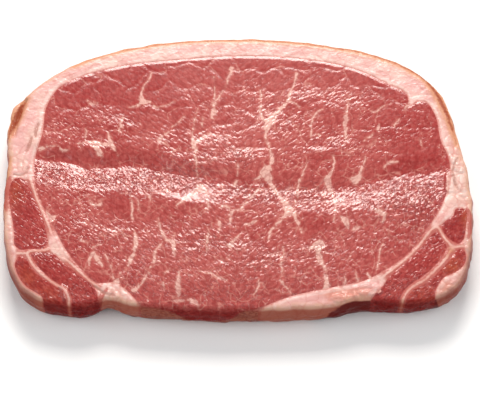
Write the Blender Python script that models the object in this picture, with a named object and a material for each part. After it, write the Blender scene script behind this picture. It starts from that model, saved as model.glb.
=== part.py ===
"""A raw ham slice, cut thick straight across the leg, lying flat.

One large eye of lean fills most of it. Six smaller muscles lie round its lower corners. The fat that
rims them all, and runs between them as seams, is one solid with an opening for each muscle. Every
muscle goes through the slice from face to face, and some of them come out at the front wall.

Plan sizes are in millimetres, seen from above: +X to the right, +Y away from the front wall. The
origin is on the table under the middle of the slice.
"""
import math

import bmesh
import bpy
import numpy as np
from mathutils import Vector, noise
from mathutils.geometry import delaunay_2d_cdt

MM = 0.001

# The slice as a slab
THICKNESS = 19.0
HALF_WIDTH = 106.0
HALF_DEPTH = 68.0
EDGE_ROUND = 2.0
RIM_DROOP = 0.7
DROOP_REACH = 14.0
GAP = 0.3

# The wall: share of the height, and how far the wall stands out there
WALL = ((1.0, 0.0), (0.74, 0.8), (0.45, 1.0), (0.18, 0.2), (0.0, -1.4))
WALL_REACH = 8.0

# Where the wall is cut under: the middle of the place, its reach along the wall, and the depth
UNDERCUTS = (((82, -62), 26.0, 1.1), ((-57.5, -62), 8.0, 1.8))

# Spacing of the mesh corners: along the outlines, inside the top face, and clear of each other
CORNER_STEP = 3.0
FACE_STEP = 4.7
ROW_STEP = 4.0
EDGE_ROWS = (0.7, 2.2)
GRID_CLEARANCE = 1.9
ROW_CLEARANCE = 1.2
EDGE_CLEARANCE = 0.8
GRID_TO_ROW = 2.8
SAME_PLACE = 1e-5

# The fold that crosses the top face, far side sloping down to it and near side rising from it
FOLD_LINE = ((-92, 6), (-76, 3), (-60, 1), (-50, 2.5), (-38, 0.5), (-22, -4), (-10, -6), (16, -9.5),
             (37, -10), (56, -8), (73, -3), (95, 0))
FOLD_DEPTH = 2.0
SHALLOW_DEPTH = 0.9
SHALLOW_AT = 8.0
SHALLOW_REACH = 45.0
FOLD_END = 98.0
FOLD_END_FADE = 12.0
FOLD_FAR_REACH = 13.0
FOLD_NEAR_REACH = 12.0
FOLD_ROWS = (-7.0, -3.0, 0.0, 3.0, 7.0, 11.5)

# The flap of rind at the left, with the cleft behind it
CLEFT_LINE = ((-97.5, 35), (-99.6, 29), (-101.2, 23), (-102.0, 17))
CLEFT_DEPTH = 1.6
CLEFT_REACH = 1.7
CLEFT_ROWS = (-1.5, 0.0, 1.5)

# Broad unevenness of the cut face: height, and length of a rise
WAVES = ((0.75, 27.0), (0.28, 11.0))

# The whole slice, round from its right end
OUTLINE = (
    (105, -19), (103.5, -2), (100, 17), (93.5, 38), (82, 50), (66, 58), (43, 63.5), (2, 67),
    (-41, 64), (-68, 57), (-85, 48), (-98, 36), (-104.5, 21), (-104, 5), (-105, -12), (-104, -30),
    (-99, -51), (-94, -58), (-87, -62.3), (-78, -64.3), (-67, -65), (-57.5, -62.2), (-47, -64.5),
    (-33, -66), (-14, -67), (8, -67), (28, -66.5), (42, -65.3), (53, -62.6), (64, -62.8),
    (75, -63.5), (86, -62), (94, -58.5), (99, -53), (102.5, -44), (104.5, -31),
)

# The muscles; where one passes the outline it comes out at the wall
MUSCLES = {
    "eye_muscle": (
        (92.5, 14), (90, 28), (86.5, 33.5), (82.5, 34), (79.3, 32), (77.5, 38), (70, 42.5),
        (56, 50), (30, 56), (1, 57.5), (-28, 55.5), (-55, 52), (-73, 46.5), (-82, 41.5),
        (-87.5, 32), (-89, 18), (-92, 5), (-91, -8), (-87, -19), (-82, -28.5), (-76, -39.5),
        (-69, -48.5), (-61.5, -54.8), (-54.5, -54.5), (-50, -57.2), (-44, -63.5), (-38, -70),
        (-16, -73), (2, -71), (12, -65.5), (25, -60.5), (38, -57.6), (47, -55.8), (55, -54),
        (66, -48.2), (75, -41.5), (84.5, -29), (92, -16.5), (95.5, -5), (95.5, 6),
    ),
    "left_upper_muscle": (
        (-99.6, -3.9), (-95.9, -5.2), (-93.3, -9.2), (-91.2, -14.6), (-89.3, -18.9), (-87.4, -23.3),
        (-85.9, -27.7), (-84.8, -32.5), (-84.4, -36), (-86.4, -38.3), (-92, -38.7), (-97.2, -38.6),
        (-99.1, -36.6), (-99.6, -32), (-100.4, -26), (-101.6, -20.5), (-102.6, -15.5), (-102.8, -10),
        (-101.8, -5.8),
    ),
    "left_inner_muscle": (
        (-91.6, -41), (-87, -40.4), (-81.4, -41.2), (-77.5, -45), (-73.6, -47.9), (-70, -51),
        (-66.4, -53.8), (-62.9, -57.2), (-61.6, -60.5), (-61, -68), (-67, -71), (-72.6, -69),
        (-73.2, -61), (-75.2, -57.6), (-79, -55.1), (-82.9, -52.5), (-86.7, -48.9), (-89.7, -45.2),
    ),
    "left_outer_muscle": (
        (-96.9, -42.1), (-94, -43), (-91.8, -46.6), (-88.5, -50.4), (-84.3, -53.6), (-80.3, -56.3),
        (-77.2, -58.3), (-75.8, -61), (-75.8, -68), (-81, -70), (-85, -66), (-86, -61.2),
        (-88.6, -59.2), (-92.4, -56.8), (-95.6, -53.4), (-97.6, -49.6), (-98.6, -45.2),
    ),
    "right_upper_muscle": (
        (97.7, -19.4), (100.4, -18.9), (102.3, -20.2), (102.6, -23.3), (102, -26.7), (101.4, -30.6),
        (100.4, -34), (98.2, -36), (95.2, -34.9), (92.8, -32.7), (91.3, -30.1), (91.1, -27.4),
        (93.2, -25), (96.2, -22.8),
    ),
    "right_inner_muscle": (
        (88.8, -30.4), (91, -34.4), (92.8, -37.8), (91.3, -41.1), (88.7, -44.9), (85, -48.7),
        (81.3, -52), (76.8, -54.9), (73.3, -58.3), (71.3, -62), (70, -68), (60, -69), (57.8, -64),
        (60.6, -59.8), (64, -56), (66.5, -52.3), (70.6, -48.3), (75.1, -44.3), (79.2, -40.4),
        (82.9, -36.1), (85.8, -32.5),
    ),
    "right_outer_muscle": (
        (98.2, -38.6), (100.5, -39.3), (101.2, -42.3), (100.3, -45.6), (97.7, -48.4), (94.8, -50.3),
        (91.4, -51.8), (88.8, -54.8), (87.2, -58), (86, -67), (75, -70), (73.8, -62.8), (77, -58.1),
        (82.6, -55.1), (86.9, -51.2), (90.7, -47.3), (93.9, -43.8), (96, -40.8),
    ),
}

# Looks: colour and roughness
LOOKS = {
    "lean": ((0.47, 0.07, 0.065), 0.4),
    "dark_lean": ((0.33, 0.035, 0.032), 0.4),
    "fat": ((0.78, 0.5, 0.38), 0.45),
}
SHARP_ANGLE = math.radians(40)


def closed_curve(knots, spacing):
    """A smooth closed curve through the knots, as evenly spaced corners in anticlockwise order."""
    knots = anticlockwise(np.array(knots, float))
    ahead = np.roll(knots, -1, axis=0) - knots
    chord = np.linalg.norm(ahead, axis=1)[:, None]
    before = np.roll(chord, 1, axis=0)
    slope = ahead / chord
    tangent = (slope * before + np.roll(slope, 1, axis=0) * chord) / (chord + before)
    dense = []
    for t in np.linspace(0, 1, 16, endpoint=False):
        start = (1 + 2 * t) * (1 - t) ** 2 * knots + t * (1 - t) ** 2 * chord * tangent
        end = t * t * (3 - 2 * t) * np.roll(knots, -1, axis=0)
        end = end + t * t * (t - 1) * chord * np.roll(tangent, -1, axis=0)
        dense.append(start + end)
    path = np.stack(dense, axis=1).reshape(-1, 2)
    return evenly(np.vstack([path, path[:1]]), spacing)[:-1]


def anticlockwise(loop):
    beyond = np.roll(loop, -1, axis=0)
    twice_area = (loop[:, 0] * beyond[:, 1] - loop[:, 1] * beyond[:, 0]).sum()
    return loop if twice_area > 0 else loop[::-1]


def evenly(path, spacing):
    """The same path with its corners moved to equal steps."""
    run = np.concatenate([[0], np.cumsum(np.linalg.norm(np.diff(path, axis=0), axis=1))])
    count = max(3, round(run[-1] / spacing))
    stops = np.linspace(0, run[-1], count + 1)
    return np.column_stack([np.interp(stops, run, path[:, axis]) for axis in (0, 1)])


def grown(loop, distance):
    """An anticlockwise loop moved outwards; a negative distance moves it inwards."""
    along = np.roll(loop, -1, axis=0) - np.roll(loop, 1, axis=0)
    outward = np.column_stack([along[:, 1], -along[:, 0]])
    return loop + distance * outward / np.linalg.norm(outward, axis=1)[:, None]


def line_distance(points, path):
    """Each point's distance to a path, which side it is on (+1 left), and its nearest place."""
    starts, ends = path[:-1], path[1:]
    along = ends - starts
    offset = points[:, None] - starts[None]
    share = np.clip((offset * along).sum(2) / (along ** 2).sum(1), 0, 1)
    away = offset - share[..., None] * along
    far = np.linalg.norm(away, axis=2)
    nearest = far.argmin(axis=1)
    row = np.arange(len(points))
    away = away[row, nearest]
    along = along[nearest]
    side = np.sign(along[:, 0] * away[:, 1] - along[:, 1] * away[:, 0])
    return far[row, nearest], side, points - away


def loop_distance(points, loop):
    return line_distance(points, np.vstack([loop, loop[:1]]))[0]


def inside(points, loop):
    """Which points a loop goes round, by counting the edges that a ray crosses."""
    x, y = points[:, 0][:, None], points[:, 1][:, None]
    a, b = loop, np.roll(loop, -1, axis=0)
    crosses = (a[:, 1] > y) != (b[:, 1] > y)
    rise = np.where(b[:, 1] == a[:, 1], 1.0, b[:, 1] - a[:, 1])
    at = a[:, 0] + (y - a[:, 1]) * (b[:, 0] - a[:, 0]) / rise
    return (crosses & (x < at)).sum(axis=1) % 2 == 1


def smooth(share):
    share = np.clip(share, 0, 1)
    return share * share * (3 - 2 * share)


def fold_drop(points):
    """How far the fold sinks the top face: deep at both ends of the slice, shallow between."""
    far, side, _ = line_distance(points, np.array(FOLD_LINE, float))
    reach = np.where(side > 0, FOLD_FAR_REACH, FOLD_NEAR_REACH)
    deepening = smooth(np.abs(points[:, 0] - SHALLOW_AT) / SHALLOW_REACH)
    depth = SHALLOW_DEPTH + (FOLD_DEPTH - SHALLOW_DEPTH) * deepening
    depth = depth * smooth((FOLD_END - np.abs(points[:, 0])) / FOLD_END_FADE)
    return depth * (1 - smooth(far / reach))


def top_height(points, outline):
    """Height of the cut face above the table."""
    height = np.full(len(points), THICKNESS)
    for rise, length in WAVES:
        height += [rise * noise.noise(Vector((x / length, y / length, length))) for x, y in points]
    height -= fold_drop(points)
    far, _, _ = line_distance(points, np.array(CLEFT_LINE, float))
    height -= CLEFT_DEPTH * (1 - smooth(far / CLEFT_REACH))
    in_from_edge = loop_distance(points, outline)
    height -= RIM_DROOP * (1 - smooth(in_from_edge / DROOP_REACH))
    turn = np.clip(1 - in_from_edge / EDGE_ROUND, 0, 1)
    return height - EDGE_ROUND * (1 - np.sqrt(1 - turn ** 2))


def wall_shift(points, outline, stand_out, share):
    """How far the wall carries each corner sideways, fading away inside the slice."""
    closed = np.vstack([outline, outline[:1]])
    far, _, nearest = line_distance(points, closed)
    edge_normals = grown(outline, 1.0) - outline
    pick = np.linalg.norm(nearest[:, None] - outline[None], axis=2)
    weight = 1 / (pick + GAP) ** 3
    outward = (weight[..., None] * edge_normals[None]).sum(1) / weight.sum(1)[:, None]
    fade = np.clip(1 - far / WALL_REACH, 0, 1) ** 2
    for middle, reach, depth in UNDERCUTS:
        from_middle = np.linalg.norm(nearest - middle, axis=1)
        stand_out = stand_out - depth * (1 - smooth(from_middle / reach)) * (1 - share)
    return outward * (stand_out * fade)[:, None]


def parallel_rows(path, rows):
    """Corners beside a path, in rows to its right for positive distances."""
    path = evenly(np.array(path, float), ROW_STEP)
    along = np.gradient(path, axis=0)
    right = np.column_stack([along[:, 1], -along[:, 0]])
    right /= np.linalg.norm(right, axis=1)[:, None]
    return np.vstack([path + row * right for row in rows])


def hexagonal_grid(half_width, half_depth, step):
    """Corners of a grid of even triangles."""
    rise = step * math.sqrt(0.75)
    rows = np.arange(-half_depth, half_depth, rise)
    columns = np.arange(-half_width, half_width, step)
    return np.array([(x + step / 2 * (k % 2), y) for k, y in enumerate(rows) for x in columns])


def face_corners(outline, loops):
    """Corners inside the top face: along the fold, round the edge, and an even grid between."""
    barriers = [outline] + loops
    chosen = parallel_rows(FOLD_LINE, FOLD_ROWS)
    chosen = np.vstack([chosen, parallel_rows(CLEFT_LINE, CLEFT_ROWS)])
    chosen = chosen[inside(chosen, outline) & clear_of(chosen, barriers, ROW_CLEARANCE)]
    edge = np.vstack([grown(outline, -row) for row in EDGE_ROWS])
    edge = edge[clear_of(edge, loops, EDGE_CLEARANCE)]
    grid = hexagonal_grid(HALF_WIDTH, HALF_DEPTH, FACE_STEP)
    grid = grid[inside(grid, outline) & clear_of(grid, barriers, GRID_CLEARANCE)]
    to_row = np.linalg.norm(grid[:, None] - chosen[None], axis=2).min(axis=1)
    return np.vstack([chosen, edge, grid[to_row > GRID_TO_ROW]])


def clear_of(points, loops, distance):
    return np.all([loop_distance(points, loop) > distance for loop in loops], axis=0)


def triangulate(points, loops):
    """Triangles over the points, with every loop kept as a line of edges."""
    corners = [Vector(p) for p in points]
    edges = []
    for loop in loops:
        first = len(corners)
        corners += [Vector(p) for p in loop]
        edges += [(first + k, first + (k + 1) % len(loop)) for k in range(len(loop))]
    found = delaunay_2d_cdt(corners, edges, [], 0, SAME_PLACE)
    return np.array([tuple(v) for v in found[0]]), [tuple(face) for face in found[2]]


def boundary(faces):
    """The edges that only one face uses, in that face's direction."""
    used = {(face[k - 1], face[k]) for face in faces for k in range(3)}
    return sorted(edge for edge in used if (edge[1], edge[0]) not in used)


def stitch(mesh, left, right):
    """Join two columns of corners, top to bottom, with triangles."""
    i = j = 0
    while i < len(left) - 1 or j < len(right) - 1:
        step_left = j == len(right) - 1
        if i < len(left) - 1 and j < len(right) - 1:
            step_left = left[i + 1].co.z >= right[j + 1].co.z
        if step_left:
            mesh.faces.new((left[i], left[i + 1], right[j]))
            i += 1
        else:
            mesh.faces.new((left[i], right[j + 1], right[j]))
            j += 1


def filled(points, edges):
    """Triangles that fill the loops of edges, whose inner side is on their left."""
    faces = delaunay_2d_cdt([Vector(p) for p in points], edges, [], 0, SAME_PLACE)[2]
    owner = {(face[k - 1], face[k]): n for n, face in enumerate(faces) for k in range(3)}
    waiting = [owner[edge] for edge in edges]
    kept = set(waiting)
    loop_edges = set(edges)
    while waiting:
        face = faces[waiting.pop()]
        for edge in ((face[k - 1], face[k]) for k in range(3)):
            beyond = owner.get((edge[1], edge[0]))
            if edge not in loop_edges and beyond not in kept:
                kept.add(beyond)
                waiting.append(beyond)
    return [faces[n] for n in sorted(kept)]


def build_region(name, corners, faces, heights, outline, material):
    """One solid: its share of the top face, walls below its edges, and a flat underside."""
    mesh = bmesh.new()
    kept = sorted({corner for face in faces for corner in face})
    top = {k: mesh.verts.new((*corners[k] * MM, heights[k] * MM)) for k in kept}
    for face in faces:
        mesh.faces.new([top[k] for k in face])
    edges = boundary(faces)
    rim = sorted({corner for edge in edges for corner in edge})
    plan = corners[rim]
    near_wall = loop_distance(plan, outline) < WALL_REACH
    columns = {k: [top[k]] for k in rim}
    for share, stand_out in WALL[1:]:
        moved = plan + wall_shift(plan, outline, stand_out, share)
        for k, place, near in zip(rim, moved, near_wall):
            if near or share == 0:
                columns[k].append(mesh.verts.new((*place * MM, heights[k] * share * MM)))
    for start, end in edges:
        stitch(mesh, columns[start], columns[end])
    order = {k: n for n, k in enumerate(rim)}
    for face in filled(plan, [(order[a], order[b]) for a, b in edges]):
        mesh.faces.new([columns[rim[k]][-1] for k in reversed(face)])
    data = bpy.data.meshes.new(name)
    mesh.to_mesh(data)
    mesh.free()
    data.materials.append(material)
    data.shade_smooth()
    data.set_sharp_from_angle(angle=SHARP_ANGLE)
    piece = bpy.data.objects.new(name, data)
    bpy.context.scene.collection.objects.link(piece)


def plain_material(name):
    """A material in one colour."""
    colour, roughness = LOOKS[name]
    material = bpy.data.materials.new(name)
    material.use_nodes = True
    shader = material.node_tree.nodes["Principled BSDF"]
    shader.inputs["Base Color"].default_value = (*colour, 1)
    shader.inputs["Roughness"].default_value = roughness
    shader.inputs["Metallic"].default_value = 0.0
    return material


def build_slice():
    """All the solids, cut from one top face so that every seam matches on both its sides."""
    outline = closed_curve(OUTLINE, CORNER_STEP)
    middles = {name: closed_curve(knots, CORNER_STEP) for name, knots in MUSCLES.items()}
    inner = {name: grown(loop, -GAP / 2) for name, loop in middles.items()}
    outer = {name: grown(loop, GAP / 2) for name, loop in middles.items()}
    loops = list(inner.values()) + list(outer.values())
    corners, faces = triangulate(face_corners(outline, loops), [outline] + loops)
    centres = np.array([corners[list(face)].mean(axis=0) for face in faces])
    heights = top_height(corners, outline)
    lean, dark_lean, fat = [plain_material(name) for name in LOOKS]

    def in_muscle(name):
        return lambda points: inside(points, outline) & inside(points, inner[name])

    def in_fat(points):
        return inside(points, outline) & ~np.any([inside(points, o) for o in outer.values()], axis=0)

    rules = {"fat_rim": (in_fat, fat)}
    for name in MUSCLES:
        rules[name] = (in_muscle(name), lean if name == "eye_muscle" else dark_lean)
    for name, (is_mine, material) in rules.items():
        mine = [face for face, keep in zip(faces, is_mine(centres)) if keep]
        build_region(name, corners, mine, heights, outline, material)


for old in list(bpy.data.objects):
    bpy.data.objects.remove(old)
build_slice()
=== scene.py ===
"""The looks of a thick raw ham slice: marbled lean, fat and rind, wet cut face, soft studio light.

Plan sizes are in millimetres as in the solids: +X to the right, +Y away from the front wall.
Each patch in a list is a soft round spot: its middle, its reach across and away, and its strength.
"""
import math

import bpy
import numpy as np
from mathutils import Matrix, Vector
from mathutils.geometry import delaunay_2d_cdt
from mathutils.kdtree import KDTree


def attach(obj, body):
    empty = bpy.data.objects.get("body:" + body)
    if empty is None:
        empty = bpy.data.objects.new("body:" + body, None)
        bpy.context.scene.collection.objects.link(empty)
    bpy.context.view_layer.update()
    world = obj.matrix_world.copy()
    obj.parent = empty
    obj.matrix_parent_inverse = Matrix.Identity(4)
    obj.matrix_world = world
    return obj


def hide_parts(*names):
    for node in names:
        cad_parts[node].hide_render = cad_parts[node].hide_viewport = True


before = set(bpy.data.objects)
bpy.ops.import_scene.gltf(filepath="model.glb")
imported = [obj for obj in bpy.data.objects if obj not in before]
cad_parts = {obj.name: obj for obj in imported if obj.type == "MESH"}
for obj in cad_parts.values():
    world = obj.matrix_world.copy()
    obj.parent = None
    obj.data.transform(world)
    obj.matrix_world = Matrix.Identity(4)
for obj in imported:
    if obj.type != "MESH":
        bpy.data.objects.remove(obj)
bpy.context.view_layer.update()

MM = 0.001

# The slab, as in the solids but for a steeper far side of the fold
THICKNESS = 19.0
HALF_WIDTH = 106.0
HALF_DEPTH = 68.0
EDGE_ROUND = 2.0
RIM_DROOP = 0.7
DROOP_REACH = 14.0
WALL = ((1.0, 0.0), (0.74, 0.8), (0.45, 1.0), (0.18, 0.2), (0.0, -1.4))
WALL_REACH = 8.0
UNDERCUTS = (((82, -62), 26.0, 1.1), ((-57.5, -62), 8.0, 1.8))
FOLD_LINE = (
    (-92, 6), (-76, 3), (-60, 1), (-50, 2.5), (-38, 0.5), (-22, -4), (-10, -6), (16, -9.5), (37, -10),
    (56, -8), (73, -3), (95, 0),
)
FOLD_DEPTH = 2.0
SHALLOW_DEPTH = 0.6
RIGHT_FOLD_DEPTH = 1.0
SHALLOW_AT = 8.0
SHALLOW_REACH = 45.0
FOLD_END = 98.0
FOLD_END_FADE = 12.0
FOLD_FAR_REACH = 8.5
FOLD_NEAR_REACH = 12.0
CLEFT_LINE = ((-97.5, 35), (-99.6, 29), (-101.2, 23), (-102.0, 17))
CLEFT_DEPTH = 1.6
CLEFT_REACH = 1.7
DROOP_END = 44.0
DROOP_FADE = 24.0
OUTLINE = (
    (105, -19), (103.5, -2), (100, 17), (93.5, 38), (82, 50), (66, 58), (43, 63.5), (2, 67),
    (-41, 64), (-68, 57), (-85, 48), (-98, 36), (-104.5, 21), (-104, 5), (-105, -12), (-104, -30),
    (-99, -51), (-94, -58), (-87, -62.3), (-78, -64.3), (-67, -65), (-57.5, -62.2), (-47, -64.5),
    (-33, -66), (-14, -67), (8, -67), (28, -66.5), (42, -65.3), (53, -62.6), (64, -62.8),
    (75, -63.5), (86, -62), (94, -58.5), (99, -53), (102.5, -44), (104.5, -31),
)
MUSCLES = {
    "eye_muscle": (
        (92.5, 14), (90, 28), (86.5, 33.5), (82.5, 34), (79.3, 32), (77.5, 38), (70, 42.5),
        (56, 50), (30, 56), (1, 57.5), (-28, 55.5), (-55, 52), (-73, 46.5), (-82, 41.5),
        (-87.5, 32), (-89, 18), (-92, 5), (-91, -8), (-87, -19), (-82, -28.5), (-76, -39.5),
        (-69, -48.5), (-61.5, -54.8), (-54.5, -54.5), (-50, -57.2), (-44, -63.5), (-38, -70),
        (-16, -73), (2, -71), (12, -65.5), (25, -60.5), (38, -57.6), (47, -55.8), (55, -54),
        (66, -48.2), (75, -41.5), (84.5, -29), (92, -16.5), (95.5, -5), (95.5, 6),
    ),
    "left_upper_muscle": (
        (-99.6, -3.9), (-95.9, -5.2), (-93.3, -9.2), (-91.2, -14.6), (-89.3, -18.9), (-87.4, -23.3),
        (-85.9, -27.7), (-84.8, -32.5), (-84.4, -36), (-86.4, -38.3), (-92, -38.7), (-97.2, -38.6),
        (-99.1, -36.6), (-99.6, -32), (-100.4, -26), (-101.6, -20.5), (-102.6, -15.5), (-102.8, -10),
        (-101.8, -5.8),
    ),
    "left_inner_muscle": (
        (-91.6, -41), (-87, -40.4), (-81.4, -41.2), (-77.5, -45), (-73.6, -47.9), (-70, -51),
        (-66.4, -53.8), (-62.9, -57.2), (-61.6, -60.5), (-61, -68), (-67, -71), (-72.6, -69),
        (-73.2, -61), (-75.2, -57.6), (-79, -55.1), (-82.9, -52.5), (-86.7, -48.9), (-89.7, -45.2),
    ),
    "left_outer_muscle": (
        (-96.9, -42.1), (-94, -43), (-91.8, -46.6), (-88.5, -50.4), (-84.3, -53.6), (-80.3, -56.3),
        (-77.2, -58.3), (-75.8, -61), (-75.8, -68), (-81, -70), (-85, -66), (-86, -61.2),
        (-88.6, -59.2), (-92.4, -56.8), (-95.6, -53.4), (-97.6, -49.6), (-98.6, -45.2),
    ),
    "right_upper_muscle": (
        (97.7, -19.4), (100.4, -18.9), (102.3, -20.2), (102.6, -23.3), (102, -26.7), (101.4, -30.6),
        (100.4, -34), (98.2, -36), (95.2, -34.9), (92.8, -32.7), (91.3, -30.1), (91.1, -27.4),
        (93.2, -25), (96.2, -22.8),
    ),
    "right_inner_muscle": (
        (88.8, -30.4), (91, -34.4), (92.8, -37.8), (91.3, -41.1), (88.7, -44.9), (85, -48.7),
        (81.3, -52), (76.8, -54.9), (73.3, -58.3), (71.3, -62), (70, -68), (60, -69), (57.8, -64),
        (60.6, -59.8), (64, -56), (66.5, -52.3), (70.6, -48.3), (75.1, -44.3), (79.2, -40.4),
        (82.9, -36.1), (85.8, -32.5),
    ),
    "right_outer_muscle": (
        (98.2, -38.6), (100.5, -39.3), (101.2, -42.3), (100.3, -45.6), (97.7, -48.4), (94.8, -50.3),
        (91.4, -51.8), (88.8, -54.8), (87.2, -58), (86, -67), (75, -70), (73.8, -62.8), (77, -58.1),
        (82.6, -55.1), (86.9, -51.2), (90.7, -47.3), (93.9, -43.8), (96, -40.8),
    ),
}

# The record's material slots; the other muscles take dark_lean
SLOTS = {"fat_rim": "fat", "eye_muscle": "lean"}

# Spacing of the fine mesh
LOOP_STEP = 0.56
FACE_STEP = 0.56
UNDER_STEP = 1.6
LEVEL_STEP = 0.7
EDGE_ROWS = (0.25, 0.6, 1.0, 1.5, 2.0)
GRID_CLEARANCE = 0.3
ROW_CLEARANCE = 0.25
UNDER_CLEARANCE = 0.8
SAME_PLACE = 1e-5
SEAM_REACH = 3.0
NARROW_SEAM = 3.6
SHARP_ANGLE = math.radians(55)
WALL_STARTS = 0.35

# What each corner of the mesh tells the materials, besides how far down the wall it is
POINT_FIELDS = (
    "vein_and_glint", "bundle", "rim", "middle", "narrow", "rough", "tone", "amber", "rind", "shaded_crease", "stray",
    "lump", "blush", "skin", "film", "below", "outer", "knob",
)

# Sizes of what covers the surface
BUNDLE_SIZE = 10.5
FIBRE_SIZE = 1.75
LEAN_SINK = 0.1
KNOB_SIZE = 4.2
BEAD_SIZE = 1.15
CREASE_SPACING = 1.7
BUMP_DEPTH = 0.34 * MM
SLANT = (0.77, 0.64)

# The camera: where it looks, how far off and how steeply, and its lens
AIM = Vector((0.001, -0.020, 0.019))
DISTANCE = 0.85
ELEVATION = math.radians(67)
LENS = 142.5
SENSOR = 36
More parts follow.
